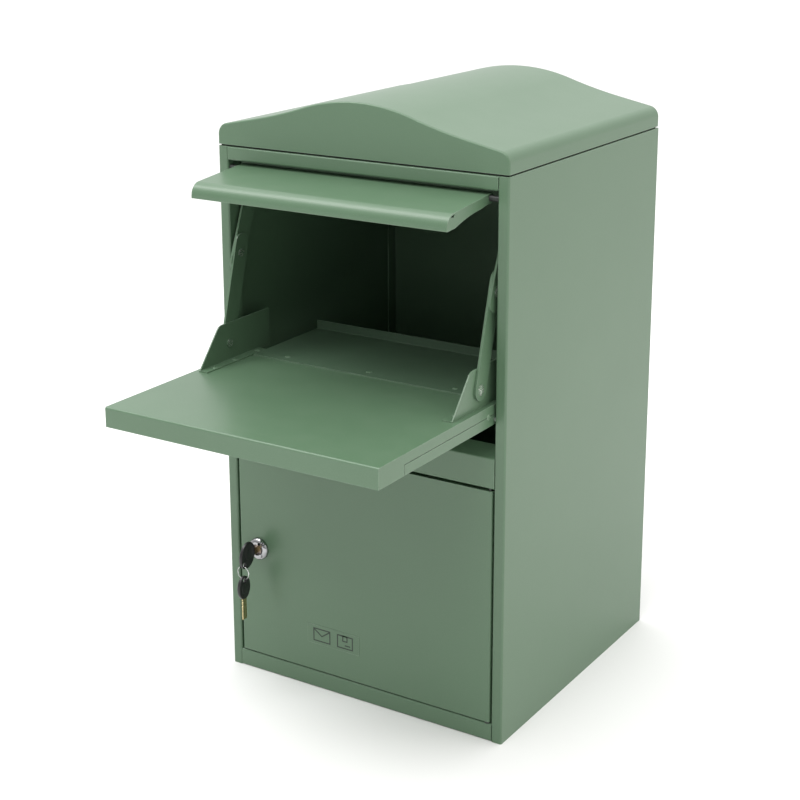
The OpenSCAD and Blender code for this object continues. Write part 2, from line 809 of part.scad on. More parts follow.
module lock_plug() {
    plug_face = front_y - 1.8;
    color(brass) difference() {
        union() {
            round_y([-lock_x, lock_z], plug_d, plug_face, behind(barrel_end) + face_gap);
            block([-lock_x - plug_square / 2, behind(barrel_end), lock_z - plug_square / 2],
                  [-lock_x + plug_square / 2, cam_y + cam_t, lock_z + plug_square / 2]);
        }
        block([-lock_x - key_t / 2 - running, plug_face - past, lock_z - key_h / 2 - running],
              [-lock_x + key_t / 2 + running, behind(14), lock_z + key_h / 2 + running]);
        round_y([-lock_x, lock_z], cam_screw_d, behind(15), cam_y + cam_t + past);
    }
}

// The cam points down when the lock is open, clear of the stile
module lock_cam() {
    cam_w = 16;
    color(zinc) difference() {
        union() {
            round_y([-lock_x, lock_z], cam_w, cam_y, cam_y + cam_t);
            block([-lock_x - cam_w / 2, cam_y, lock_z - cam_len],
                  [-lock_x + cam_w / 2, cam_y + cam_t, lock_z]);
        }
        block([-lock_x - plug_square / 2, cam_y - past, lock_z - plug_square / 2],
              [-lock_x + plug_square / 2, cam_y + cam_t + past, lock_z + plug_square / 2]);
    }
}

module cam_screw() {
    color(zinc) {
        round_y([-lock_x, lock_z], cam_screw_d, behind(16), cam_y + cam_t);
        round_y([-lock_x, lock_z], 11, cam_y + cam_t, cam_y + cam_t + 2.5);
    }
}

// A flat key blade along -Y in its plug, with three shallow cuts in its lower edge
module blade(tip, root) {
    difference() {
        block([-key_t / 2, -tip, -key_h / 2], [key_t / 2, root, key_h / 2]);
        for (i = [0:2]) translate([0, -tip + 4 + 5 * i, -key_h / 2])
            rotate([45, 0, 0]) cube([key_t + past, 1.8, 1.8], center = true);
    }
}

module key_blade() {
    color(brass) translate([-lock_x, 0, lock_z]) mirror([0, 1, 0])
        blade(behind(13), -behind(-14));
}

// An oval plastic head in the (y, z) plane, with a ring hole and a seat for the blade
module bow_outline(centre, size, tilt) {
    steps = 36;
    along_x(-bow_t / 2, bow_t / 2)
        polygon([for (i = [0:steps - 1])
            centre + turned([size.x / 2 * cos(i * 360 / steps), size.y / 2 * sin(i * 360 / steps)],
                            tilt)]);
}

module key_bow() {
    color(black) translate([-lock_x, 0, 0]) difference() {
        bow_outline(bow_centre, [28, 35], -20);
        round_x(bow_hole, 2 * hole_r, -bow_t, bow_t);
        block([-key_t / 2, behind(-14), lock_z - key_h / 2],
              [key_t / 2, behind(-14) + blade_seat, lock_z + key_h / 2]);
    }
}

module key_ring() {
    color(chrome) translate([-lock_x, ring_top.x, ring_top.y - ring_d / 2])
        rotate([90, 0, 0]) rotate_extrude() translate([ring_d / 2, 0]) circle(d = wire_d);
}

module spare_key_bow() {
    color(black) translate([-lock_x, 0, 0]) difference() {
        bow_outline(spare_centre, [23, 31], 0);
        round_x(spare_hole, 2 * hole_r, -bow_t, bow_t);
        block([-key_t / 2, spare_centre.x - key_h / 2, spare_centre.y - 10 - blade_seat],
              [key_t / 2, spare_centre.x + key_h / 2, spare_centre.y - 10]);
    }
}

module spare_key_blade() {
    color(brass) translate([-lock_x, spare_centre.x, spare_centre.y - 10])
        rotate([-90, 0, 0]) blade(0, 33);
}

left_side_panel();
right_side_panel();
back_panel();
base_panel();
roof_panel();
arched_lid();
lid_gasket();
lid_screws();
lid_nuts();
mid_rail();
flap_pivot_pins();
hood_pivot_pins();
hood_spacers();
door_hinge_pins();
left_stay_bracket();
right_stay_bracket();
stay_slot_pins();
flap_outer_pan();
flap_inner_pan();
left_cheek();
right_cheek();
chute_tray();
flap_rivets();
stay_pivot_rivets();
left_stay_lower_bar();
left_stay_upper_bar();
left_stay_lap_rivet();
right_stay_lower_bar();
right_stay_upper_bar();
right_stay_lap_rivet();
hood_panel();
door_panel();
door_stiffeners();
door_bumpers();
door_label_plate();
lock_housing();
lock_nut();
lock_plug();
lock_cam();
cam_screw();
key_blade();
key_bow();
key_ring();
spare_key_bow();
spare_key_blade();
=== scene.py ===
import math

import bmesh
import bpy
from mathutils import Matrix, Vector


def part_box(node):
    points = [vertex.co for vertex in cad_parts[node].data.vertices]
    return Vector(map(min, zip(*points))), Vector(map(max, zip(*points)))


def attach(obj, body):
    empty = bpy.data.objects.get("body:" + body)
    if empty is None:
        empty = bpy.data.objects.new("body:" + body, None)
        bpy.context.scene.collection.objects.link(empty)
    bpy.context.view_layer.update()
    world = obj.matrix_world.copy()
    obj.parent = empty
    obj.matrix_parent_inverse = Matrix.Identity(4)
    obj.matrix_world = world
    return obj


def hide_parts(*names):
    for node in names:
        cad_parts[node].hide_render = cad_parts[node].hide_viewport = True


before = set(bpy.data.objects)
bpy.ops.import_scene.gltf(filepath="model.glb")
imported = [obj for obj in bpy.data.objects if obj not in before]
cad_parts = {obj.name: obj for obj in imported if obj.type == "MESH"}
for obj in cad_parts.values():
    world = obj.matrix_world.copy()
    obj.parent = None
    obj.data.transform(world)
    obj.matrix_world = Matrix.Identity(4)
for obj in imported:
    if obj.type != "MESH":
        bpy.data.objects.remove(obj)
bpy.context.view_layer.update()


# ---------------------------------------------------------------------------------------
# Studio: a pale seamless floor, a white surround, soft lights and the camera.
# The floor is matte paper. The lights are large panels, so the satin paint shows broad,
# soft reflections and no hard spots.
# ---------------------------------------------------------------------------------------

class Tone:
    """A value on its way through a material, so that shader maths reads as arithmetic."""

    def __init__(self, finish, socket):
        self.finish = finish
        self.socket = socket

    def _with(self, operation, first, second):
        return self.finish.add("Math", {"operation": operation}, {0: first, 1: second})

    def __add__(self, other):
        return self._with("ADD", self, other)

    def __sub__(self, other):
        return self._with("SUBTRACT", self, other)

    def __mul__(self, other):
        return self._with("MULTIPLY", self, other)

    def __rsub__(self, other):
        return self._with("SUBTRACT", other, self)

    __radd__ = __add__
    __rmul__ = __mul__


class Finish:
    """A material, or the studio's surround, and its node tree. One method, add, makes every node."""

    def __init__(self, name, kind="materials", shader="Principled BSDF"):
        self.material = getattr(bpy.data, kind).new(name)
        self.material.use_nodes = True
        self.tree = self.material.node_tree
        self.shader = self.tree.nodes[shader]

    def add(self, kind, settings=None, sockets=None, output=0):
        node = self.tree.nodes.new("ShaderNode" + kind)
        for key, value in (settings or {}).items():
            if key == "stops":
                self._set_stops(node.color_ramp.elements, value)
            else:
                setattr(node, key, value)
        for key, value in (sockets or {}).items():
            self.feed(node.inputs[key], value)
        return Tone(self, node.outputs[output])

    def _set_stops(self, elements, stops):
        while len(elements) < len(stops):
            elements.new(1.0)
        for element, (place, level) in zip(elements, stops):
            element.position = place
            element.color = (level, level, level, 1)

    def feed(self, socket, value):
        if isinstance(value, Tone):
            self.tree.links.new(value.socket, socket)
        else:
            socket.default_value = value

    def set(self, **sockets):
        for key, value in sockets.items():
            self.feed(self.shader.inputs[key.replace("_", " ")], value)
        return self

    def place(self):
        return self.add("TexCoord", output="Object")

    def grain(self, size, detail=3.0, roughness=0.5):
        """Noise whose features are about size metres across."""
        sockets = {"Vector": self.place(), "Scale": 1 / size, "Detail": detail,
                   "Roughness": roughness}
        return self.add("TexNoise", {}, sockets, "Fac")

    def ramp(self, value, *stops):
        return self.add("ValToRGB", {"stops": stops}, {"Fac": value})

    def blend(self, low, high, amount):
        """Colour low where amount is 0, high where it is 1."""
        return self.add("Mix", {"data_type": "RGBA"}, {0: amount, 6: low, 7: high}, 2)

    def bump(self, height, strength, depth):
        sockets = {"Height": height, "Strength": strength, "Distance": depth}
        return self.add("Bump", {}, sockets)


def colour(red, green, blue):
    return (red, green, blue, 1.0)


paper = Finish("floor_paper")
paper_tooth = paper.grain(0.004, detail=4)
paper.set(Base_Color=paper.blend(colour(0.76, 0.76, 0.755), colour(0.79, 0.79, 0.78), paper.grain(0.6)),
          Roughness=0.75 + paper_tooth * 0.1,
          Normal=paper.bump(paper_tooth, 0.1, 0.0002))

FLOOR_SIZE = 60.0
floor_mesh = bpy.data.meshes.new("floor")
half_floor = FLOOR_SIZE / 2
floor_mesh.from_pydata([(-half_floor, -half_floor, 0), (half_floor, -half_floor, 0),
                        (half_floor, half_floor, 0), (-half_floor, half_floor, 0)],
                       [], [(0, 1, 2, 3)])
floor_mesh.materials.append(paper.material)
floor = bpy.data.objects.new("floor", floor_mesh)
bpy.context.scene.collection.objects.link(floor)

surround = Finish("surround", "worlds", "Background")
outward = surround.add("TexCoord", output="Generated")
ceiling = surround.ramp(surround.add("SeparateXYZ", {}, {0: outward}, "Z"), (0.3, 0.0), (0.9, 1.0))
dim_side = surround.ramp(0 - surround.add("SeparateXYZ", {}, {0: outward}, "Y"), (0.0, 0.0), (0.8, 1.0))
surround.set(Color=colour(1.0, 1.0, 1.0), Strength=1.0 + ceiling * 0.9 - dim_side * 0.58)
bpy.context.scene.world = surround.material
bpy.context.scene.view_settings.view_transform = "Standard"


def panel_light(name, place, target, width, height, power, tint=(1.0, 1.0, 1.0)):
    lamp = bpy.data.lights.new(name, "AREA")
    lamp.color = tint
    lamp.shape = "RECTANGLE"
    lamp.size = width
    lamp.size_y = height
    lamp.energy = power
    holder = bpy.data.objects.new(name, lamp)
    holder.location = place
    holder.rotation_euler = (Vector(target) - Vector(place)).to_track_quat("-Z", "Y").to_euler()
    bpy.context.scene.collection.objects.link(holder)


BOX_MIDDLE = (0, 0, 0.4)
panel_light("side_panel_light", (3.2, 0.4, 1.7), BOX_MIDDLE, 2.6, 2.6, 18, (1.0, 0.92, 0.8))
panel_light("overhead_light", (-1.7, -1.0, 3.3), BOX_MIDDLE, 1.5, 1.5, 44)
panel_light("front_light", (0.2, -2.2, 3.3), BOX_MIDDLE, 1.8, 1.8, 50)

CAMERA_PLACE = Vector((1.049, -1.7654, 1.0256))
CAMERA_TURN = math.radians(32.84)
CAMERA_DIP = math.radians(15.14)
CAMERA_LEAN = math.radians(0.28)
CAMERA_LENS = 74.95
CAMERA_SHIFT = (0.02, -0.12)
lens = bpy.data.cameras.new("camera")
lens.lens = CAMERA_LENS
lens.shift_x, lens.shift_y = CAMERA_SHIFT
camera = bpy.data.objects.new("camera", lens)
camera.matrix_world = (Matrix.Translation(CAMERA_PLACE)
                       @ Matrix.Rotation(CAMERA_TURN, 4, "Z")
                       @ Matrix.Rotation(math.pi / 2 - CAMERA_DIP, 4, "X")
                       @ Matrix.Rotation(-CAMERA_LEAN, 4, "Z"))
bpy.context.scene.collection.objects.link(camera)
bpy.context.scene.camera = camera


# ---------------------------------------------------------------------------------------
# Cabinet shell: two side panels folded into the stiles, the back, base and roof panels.
# All are 1.5 mm steel sheet, folded, spot-welded and powder-coated sage green in one go.
# ---------------------------------------------------------------------------------------

def powder_coat(name, deep, pale, satin):
    """Sage powder coat: orange peel, faint clouding, and paint lightened along the folds, partly edge wear
    and partly a painted edge highlight.
    """
    coat = Finish(name)
    cloud = coat.grain(0.16, detail=2)
    peel = coat.grain(0.0024, detail=2, roughness=0.4)
    speck = coat.ramp(coat.grain(0.0007, detail=1), (0.62, 0.0), (0.74, 1.0))
    fold = coat.add("Bevel", {"samples": 4}, {"Radius": 0.0016})
    facing = coat.add("NewGeometry", output="Normal")
    along = coat.add("VectorMath", {"operation": "DOT_PRODUCT"}, {0: fold, 1: facing}, "Value")
    # Paint lightened along the folds: partly wear of the coat, partly a painted highlight where the fold
    # edges catch the light.
    fold_edge_mask = coat.ramp(1 - along, (0.02, 0.0), (0.22, 1.0))
    edge_wear_and_highlight = fold_edge_mask * coat.ramp(coat.grain(0.012, detail=5), (0.35, 0.25), (0.7, 1.0))
    up = coat.add("SeparateXYZ", {}, {0: facing}, "Z")
    dust = coat.ramp(up, (0.55, 0.0), (0.95, 1.0)) * coat.ramp(coat.grain(0.03, detail=6),
                                                             (0.4, 0.0), (0.75, 1.0))
    paint = coat.blend(deep, pale, cloud)
    paint = coat.blend(paint, colour(0.3, 0.37, 0.3), speck * 0.12)
    paint = coat.blend(paint, colour(0.34, 0.42, 0.34), edge_wear_and_highlight * 0.45)
    paint = coat.blend(paint, colour(0.42, 0.45, 0.4), dust * 0.025)
    smear = coat.ramp(coat.grain(0.05, detail=3, roughness=0.5), (0.3, 0.0), (0.75, 1.0))
    coat.set(Base_Color=paint,
             Roughness=satin + smear * 0.015 + dust * 0.015 - edge_wear_and_highlight * 0.04,
             Coat_Weight=0.08 + smear * 0.01,
             Coat_Roughness=0.18,
             Normal=coat.bump(peel, 0.16, 0.00012))
    return coat.material


def dress(node, material):
    """A CAD part keeps its shape and takes a finish."""
    slots = bpy.data.objects[node].material_slots
    for place in slots:
        place.material = material
    if not slots:
        bpy.data.objects[node].data.materials.append(material)


outer_coat = powder_coat("sage_powder_coat", colour(0.081, 0.147, 0.085), colour(0.091, 0.162, 0.095), 0.36)
# The same coat for the brackets, tray and stiffeners inside the cabinet. Its colour is made a little darker
# as painted shade, and its finish is rougher.
shade_darkened_coat = powder_coat("sage_powder_coat_inside", colour(0.078, 0.136, 0.084),
                         colour(0.086, 0.15, 0.092), 0.44)

for panel in ("left_side_panel", "right_side_panel", "base_panel", "roof_panel", "back_panel"):
    dress(panel, outer_coat)


# ---------------------------------------------------------------------------------------
# Middle rail: a folded channel whose top is bent back and up into a sloping sill that
# sheds rain forward. It is welded between the stiles.
# ---------------------------------------------------------------------------------------

dress("mid_rail", outer_coat)


# ---------------------------------------------------------------------------------------
# Lid: one rolled sheet with an arched crown, rounded shoulders and a short upright skirt.
# Its two end faces are folded down over a small radius. It sits on a foam gasket and is
# held by screws and nuts from inside the roof.
# ---------------------------------------------------------------------------------------

foam = Finish("gasket_foam")
pores = foam.add("TexVoronoi", {}, {"Vector": foam.place(), "Scale": 900.0}, "Distance")
foam.set(Base_Color=foam.blend(colour(0.012, 0.012, 0.012), colour(0.03, 0.03, 0.029), pores),
         Roughness=0.85 + pores * 0.12,
         Normal=foam.bump(pores, 0.6, 0.0003))
dress("lid_gasket", foam.material)

zinc = Finish("zinc_plate")
spangle = zinc.add("TexVoronoi", {}, {"Vector": zinc.place(), "Scale": 700.0}, "Distance")
dulled = zinc.grain(0.004, detail=5)
zinc.set(Base_Color=zinc.blend(colour(0.5, 0.52, 0.52), colour(0.72, 0.73, 0.72), spangle),
         Metallic=1.0,
         Roughness=0.24 + dulled * 0.22,
         Normal=zinc.bump(dulled, 0.2, 0.0001))
for fastener in ("lid_screws", "lid_nuts"):
    dress(fastener, zinc.material)

LID_SHEET = 0.0015
LID_FLANGE = 0.016
SKIRT_HEIGHT = 0.012
SHOULDER_RADIUS = 0.014
SHOULDER_SLOPE = math.radians(11.5)
SHOULDER_START = 0.145
ARCH_SLOPE = math.radians(18)
END_FOLD_RADIUS = 0.0024
END_FOLD_STEPS = 5
SMOOTH_ANGLE = math.radians(32)
WELD_GAP = 1e-6
SHOULDER_STEPS = 8
VALLEY_STEPS = 10
CROWN_STEPS = 20

lid_low, lid_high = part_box("arched_lid")
shoulder_centre = Vector((lid_high.x - SHOULDER_RADIUS, lid_low.z + SKIRT_HEIGHT))


def heading(angle):
    """A unit vector that leans from upright by an angle."""
    return Vector((math.sin(angle), math.cos(angle)))


# The crown and the valley on each side of it are arcs that meet the straight shoulder.
shoulder_end = shoulder_centre + SHOULDER_RADIUS * heading(SHOULDER_SLOPE)
shoulder_rise = (shoulder_end.x - SHOULDER_START) * math.tan(SHOULDER_SLOPE)
shoulder_start = Vector((SHOULDER_START, shoulder_end.y + shoulder_rise))
across = math.sin(ARCH_SLOPE) - math.sin(SHOULDER_SLOPE)
upward = math.cos(SHOULDER_SLOPE) - math.cos(ARCH_SLOPE)
sagitta = 1 - math.cos(ARCH_SLOPE)
drop = lid_high.z - shoulder_start.y
share = math.sin(ARCH_SLOPE) * upward - across * sagitta
crown_radius = (SHOULDER_START * upward - across * drop) / share
valley_radius = (math.sin(ARCH_SLOPE) * drop - sagitta * SHOULDER_START) / share
crown_centre = Vector((0, lid_high.z - crown_radius))
valley_centre = shoulder_start + valley_radius * heading(SHOULDER_SLOPE)


def lid_section(inset):
    """The lid's outline as (x, z) points, from the right skirt over the crown to the left."""
    points = [Vector((lid_high.x - inset, lid_low.z))]
    for step in range(SHOULDER_STEPS + 1):
        angle = math.pi / 2 - (math.pi / 2 - SHOULDER_SLOPE) * step / SHOULDER_STEPS
        points.append(shoulder_centre + (SHOULDER_RADIUS - inset) * heading(angle))
    for step in range(VALLEY_STEPS + 1):
        angle = SHOULDER_SLOPE + (ARCH_SLOPE - SHOULDER_SLOPE) * step / VALLEY_STEPS
        points.append(valley_centre - (valley_radius + inset) * heading(angle))
    for step in range(1, CROWN_STEPS + 1):
        angle = ARCH_SLOPE * (1 - step / CROWN_STEPS)
        points.append(crown_centre + (crown_radius - inset) * heading(angle))
    return points + [Vector((-point.x, point.y)) for point in reversed(points[:-1])]


def made(name, shape, body, material, replaced=()):
    """A shaped piece becomes an object on its body, smooth over its curves and crisp at its folds."""
    mesh = bpy.data.meshes.new(name)
    shape.to_mesh(mesh)
    shape.free()
    mesh.materials.append(material)
    mesh.shade_smooth()
    mesh.set_sharp_from_angle(angle=SMOOTH_ANGLE)
    piece = bpy.data.objects.new(name, mesh)
    bpy.context.scene.collection.objects.link(piece)
    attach(piece, body)
    if replaced:
        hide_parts(*replaced)
    return piece


def even_shading(piece):
    """Broad faces keep their own shading up to the small radii along their edges."""
    weighing = piece.modifiers.new("even_shading", "WEIGHTED_NORMAL")
    weighing.keep_sharp = True


shell = bmesh.new()
rings = []
for end in (-1, 1):
    for step in range(END_FOLD_STEPS + 1)[::-end]:
        turn = math.pi / 2 * step / END_FOLD_STEPS
        inset = END_FOLD_RADIUS * (1 - math.sin(turn))
        y = end * (lid_high.y - END_FOLD_RADIUS * (1 - math.cos(turn)))
        rings.append([shell.verts.new((point.x, y, point.y)) for point in lid_section(inset)])
for ring, after in zip(rings, rings[1:]):
    for first, second, third, fourth in zip(ring, ring[1:], after[1:], after):
        shell.faces.new((first, second, third, fourth))
shell.faces.new(rings[0])
shell.faces.new(rings[-1])

# The flange under the lid, bent in from the lower edge all round.
flange_reach = Vector((lid_high.x - LID_FLANGE, lid_high.y - LID_FLANGE))


def on_flange(corner):
    """The point of the flange's inner edge that lies nearest to a corner of the skirt."""
    x, y, z = corner.co
    return shell.verts.new((max(-flange_reach.x, min(flange_reach.x, x)),
                            max(-flange_reach.y, min(flange_reach.y, y)), z))


skirt_edge = [ring[0] for ring in rings] + [ring[-1] for ring in reversed(rings)]
flange_edge = [on_flange(corner) for corner in skirt_edge]
for index, corner in enumerate(skirt_edge):
    shell.faces.new((corner, skirt_edge[index - 1], flange_edge[index - 1], flange_edge[index]))
bmesh.ops.remove_doubles(shell, verts=shell.verts, dist=WELD_GAP)
bmesh.ops.recalc_face_normals(shell, faces=shell.faces)
highest = max(shell.faces, key=lambda face: face.calc_center_median().z)
if highest.normal.z < 0:
    bmesh.ops.reverse_faces(shell, faces=shell.faces)
lid = made("lid_shell", shell, "cabinet", outer_coat, ["arched_lid"])
thickness = lid.modifiers.new("sheet", "SOLIDIFY")
thickness.thickness = LID_SHEET
thickness.offset = -1
even_shading(lid)


# ---------------------------------------------------------------------------------------
# Pivot pins, spacers and the two brackets that carry the stay pins inside the cabinet.
# The flap and stay pins are bright zinc, the hood and door ones black zinc. They are pressed
# in the stiles, the rails and the brackets, which are painted channels.
# ---------------------------------------------------------------------------------------

black_zinc = Finish("black_zinc")
sheen = black_zinc.grain(0.003, detail=5)
black_zinc.set(Base_Color=black_zinc.blend(colour(0.03, 0.032, 0.032), colour(0.07, 0.074, 0.07), sheen),
               Metallic=0.6,
               Roughness=0.4 + sheen * 0.2,
               Normal=black_zinc.bump(sheen, 0.2, 0.0001))
for fastener in ("flap_pivot_pins", "stay_slot_pins"):
    dress(fastener, zinc.material)
for fastener in ("hood_pivot_pins", "hood_spacers", "door_hinge_pins"):
    dress(fastener, black_zinc.material)
for bracket in ("left_stay_bracket", "right_stay_bracket"):
    dress(bracket, shade_darkened_coat)


# ---------------------------------------------------------------------------------------
# Parcel flap: two shallow pans closed on each other, with a seam at mid thickness.
# Cheek plates and the tray behind it are riveted to the upper pan.
# ---------------------------------------------------------------------------------------

CORNER_ANGLE = math.radians(40)
FLAT_ANGLE = math.radians(0.3)
BROAD_FACE = 0.004
EDGE_STEPS = 3
FLAP_EDGE = 0.0012


def softened(node, name, body, width):
    """A folded pan again, its corner edges rounded as grinding and a coat of paint leave them."""
    shape = bmesh.new()
    shape.from_mesh(bpy.data.objects[node].data)
    bmesh.ops.remove_doubles(shape, verts=shape.verts, dist=WELD_GAP)
    bmesh.ops.dissolve_limit(shape, angle_limit=FLAT_ANGLE, verts=shape.verts, edges=shape.edges)

    def broad(face):
        return face.calc_area() > BROAD_FACE * max(edge.calc_length() for edge in face.edges)

    corners = [edge for edge in shape.edges
               if edge.is_manifold and edge.is_convex and edge.calc_face_angle(0) > CORNER_ANGLE
               and all(broad(face) for face in edge.link_faces)]
    bmesh.ops.bevel(shape, geom=corners, offset=width, segments=EDGE_STEPS, profile=0.5, affect="EDGES",
                    clamp_overlap=True)
    piece = made(name, shape, body, outer_coat, [node])
    even_shading(piece)
    return piece


softened("flap_outer_pan", "flap_outer_skin", "flap", FLAP_EDGE)
softened("flap_inner_pan", "flap_inner_skin", "flap", FLAP_EDGE)
for part in ("left_cheek", "right_cheek"):
    dress(part, outer_coat)
dress("chute_tray", shade_darkened_coat)
dress("flap_rivets", outer_coat)
worn_rivet = Finish("worn_painted_rivet")
bare = worn_rivet.ramp(worn_rivet.grain(0.0016, detail=4), (0.5, 0.0), (0.62, 1.0))
worn_rivet.set(Base_Color=worn_rivet.blend(colour(0.085, 0.15, 0.09), colour(0.6, 0.6, 0.58), bare),
               Metallic=bare,
               Roughness=0.42 - bare * 0.14,
               Normal=worn_rivet.bump(1 - bare, 0.3, 0.00005))
dress("stay_pivot_rivets", worn_rivet.material)


# ---------------------------------------------------------------------------------------
# Stays: two painted flat bars on each side, lapped and held by one rivet. The upper bar is
# slotted for the pin on its bracket.
# ---------------------------------------------------------------------------------------

for side in ("left", "right"):
    dress(side + "_stay_lower_bar", outer_coat)
    dress(side + "_stay_upper_bar", outer_coat)
    dress(side + "_stay_lap_rivet", worn_rivet.material)


# ---------------------------------------------------------------------------------------
# Hood: a folded steel sheet with a rolled front edge and two side flanges. It turns on two
# pins in the stiles, under the top rail, and wears the same coat as the cabinet.
# ---------------------------------------------------------------------------------------

HOOD_EDGE = 0.0007
softened("hood_panel", "hood_sheet", "hood", HOOD_EDGE)


# ---------------------------------------------------------------------------------------
# Door: a folded steel pan with two stiffeners spot-welded behind its skin, and two rubber
# bumpers that meet the frame.
# ---------------------------------------------------------------------------------------

DOOR_EDGE = 0.001
softened("door_panel", "door_pan", "door", DOOR_EDGE)
dress("door_stiffeners", shade_darkened_coat)
rubber = Finish("bumper_rubber")
chalk = rubber.grain(0.003, detail=5)
rubber.set(Base_Color=rubber.blend(colour(0.015, 0.015, 0.015), colour(0.045, 0.044, 0.042), chalk),
           Roughness=0.7 + chalk * 0.2,
           Normal=rubber.bump(chalk, 0.3, 0.0001))
dress("door_bumpers", rubber.material)


# ---------------------------------------------------------------------------------------
# Door mark: a thin plate bonded to the door and painted with it, with two plain symbols
# screen-printed on it in dark ink: an open envelope and a taped parcel.
# ---------------------------------------------------------------------------------------

dress("door_label_plate", outer_coat)
ink = Finish("screen_print_ink")
mesh_grain = ink.grain(0.0005, detail=2)
ink.set(Base_Color=ink.blend(colour(0.012, 0.022, 0.015), colour(0.03, 0.045, 0.033), ink.grain(0.01)),
        Roughness=0.5 + mesh_grain * 0.15,
        Normal=ink.bump(mesh_grain, 0.2, 0.00005))

INK_THICKNESS = 0.00008
INK_LINE = 0.0016
plate_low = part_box("door_label_plate")[0]
prints = bmesh.new()


def printed(outline):
    """A closed patch of ink on the plate, from (x, z) points measured from its lower left corner."""
    front = [prints.verts.new((plate_low.x + x, plate_low.y - INK_THICKNESS, plate_low.z + z))
             for x, z in outline]
    rear = [prints.verts.new((corner.co.x, plate_low.y + INK_THICKNESS, corner.co.z)) for corner in front]
    prints.faces.new(front)
    prints.faces.new(reversed(rear))
    for index, corner in enumerate(front):
        prints.faces.new((corner, rear[index], rear[index - 1], front[index - 1]))


def line(start, end, width=INK_LINE):
    """A straight printed line with square ends."""
    start, end = Vector(start), Vector(end)
    side = (end - start).orthogonal().normalized() * width / 2
    printed([start - side, end - side, end + side, start + side])


def box_outline(low, high, width=INK_LINE):
    """The four sides of a printed rectangle, mitred at its corners."""
    (left, bottom), (right, top) = low, high
    outer = [(left, bottom), (right, bottom), (right, top), (left, top)]
    inner = [(left + width, bottom + width), (right - width, bottom + width),
             (right - width, top - width), (left + width, top - width)]
    for index in range(4):
        printed([outer[index - 1], outer[index], inner[index], inner[index - 1]])


box_outline((0.009, 0.004), (0.035, 0.022))
line((0.0104, 0.0203), (0.0222, 0.0118))
line((0.0218, 0.0118), (0.0336, 0.0203))
box_outline((0.045, 0.004), (0.069, 0.022))
box_outline((0.053, 0.0135), (0.061, 0.022))
line((0.0568, 0.0088), (0.0648, 0.0088))
bmesh.ops.recalc_face_normals(prints, faces=prints.faces)
made("door_pictogram", prints, "door", ink.material)


# ---------------------------------------------------------------------------------------
# Cam lock: a die-cast housing with a chromed dome, a nickelled plug that turns in it, and a
# zinc-plated nut, cam and screw behind the door.
# ---------------------------------------------------------------------------------------

chrome = Finish("chrome_plate")
smudges = chrome.grain(0.006, detail=5, roughness=0.6)
chrome.set(Base_Color=chrome.blend(colour(0.33, 0.33, 0.345), colour(0.43, 0.43, 0.44), smudges),
           Metallic=1.0,
           Roughness=0.06 + smudges * 0.08,
           Normal=chrome.bump(smudges, 0.03, 0.00005))
plug_metal = Finish("nickelled_plug")
worn = plug_metal.grain(0.002, detail=5, roughness=0.6)
plug_metal.set(Base_Color=plug_metal.blend(colour(0.4, 0.33, 0.29), colour(0.24, 0.2, 0.18), worn),
               Metallic=1.0,
               Roughness=0.24 + worn * 0.2,
               Normal=plug_metal.bump(worn, 0.2, 0.00005))
brass = Finish("cut_brass")
tarnish = brass.grain(0.003, detail=6, roughness=0.6)
tool_marks = brass.add("TexWave", {"bands_direction": "Z"},
                       {"Vector": brass.place(), "Scale": 900.0, "Distortion": 1.5}, "Fac")
brass.set(Base_Color=brass.blend(colour(0.58, 0.5, 0.27), colour(0.36, 0.3, 0.17), tarnish),
          Metallic=1.0,
          Roughness=0.2 + tarnish * 0.2,
          Normal=brass.bump(tool_marks, 0.15, 0.00005))
dress("lock_housing", chrome.material)

# A raised rib stands in the upper notch of the dome, along its slope.
RIB_WIDTH = 0.0012
RIB_FOOT = 0.0025
RIB_ROUNDING = 0.0003
RIB_CROWN_SHARE = 0.6
RIB_STEPS = 6
RIB_START_DEGREES = 12
RIB_SWEEP_DEGREES = 66
RIB_INSET = 0.0003
DIAGONAL = math.sqrt(0.5)
DOME_RIM = 0.0145
DOME_MOUTH = 0.0075
DOME_BASE = 0.0015
DOME_HEIGHT = 0.0065
lock_low, lock_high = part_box("lock_housing")
plug_low, plug_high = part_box("lock_plug")
lock_x = (plug_low.x + plug_high.x) / 2
lock_z = (lock_low.z + lock_high.z) / 2
door_face = lock_low.y + DOME_HEIGHT
rib = bmesh.new()
rib_rows = []
for step in range(RIB_STEPS + 1):
    turn = math.radians(RIB_START_DEGREES + RIB_SWEEP_DEGREES * step / RIB_STEPS)
    reach = DOME_MOUTH + (DOME_RIM - DOME_MOUTH) * math.cos(turn)
    stand = DOME_BASE + (DOME_HEIGHT - DOME_BASE) * math.sin(turn) - RIB_INSET
    row = []
    for across_rib, height in ((-1, RIB_FOOT), (-1, stand - RIB_ROUNDING),
                               (-RIB_CROWN_SHARE, stand), (RIB_CROWN_SHARE, stand),
                               (1, stand - RIB_ROUNDING), (1, RIB_FOOT)):
        sideways = across_rib * RIB_WIDTH / 2
        row.append(rib.verts.new((lock_x + (reach - sideways) * DIAGONAL, door_face - height,
                                  lock_z + (reach + sideways) * DIAGONAL)))
    rib_rows.append(row)
for row, after in zip(rib_rows, rib_rows[1:]):
    for index in range(len(row)):
        rib.faces.new((row[index - 1], row[index], after[index], after[index - 1]))
rib.faces.new(rib_rows[0])
rib.faces.new(rib_rows[-1])
bmesh.ops.recalc_face_normals(rib, faces=rib.faces)
made("bezel_rib", rib, "door", chrome.material)
dress("lock_plug", plug_metal.material)
for part in ("lock_nut", "lock_cam", "cam_screw"):
    dress(part, zinc.material)


# ---------------------------------------------------------------------------------------
# Keys: milled brass blades in moulded black plastic heads, with an oval badge on each face,
# joined by a split ring of nickelled spring wire.
# ---------------------------------------------------------------------------------------

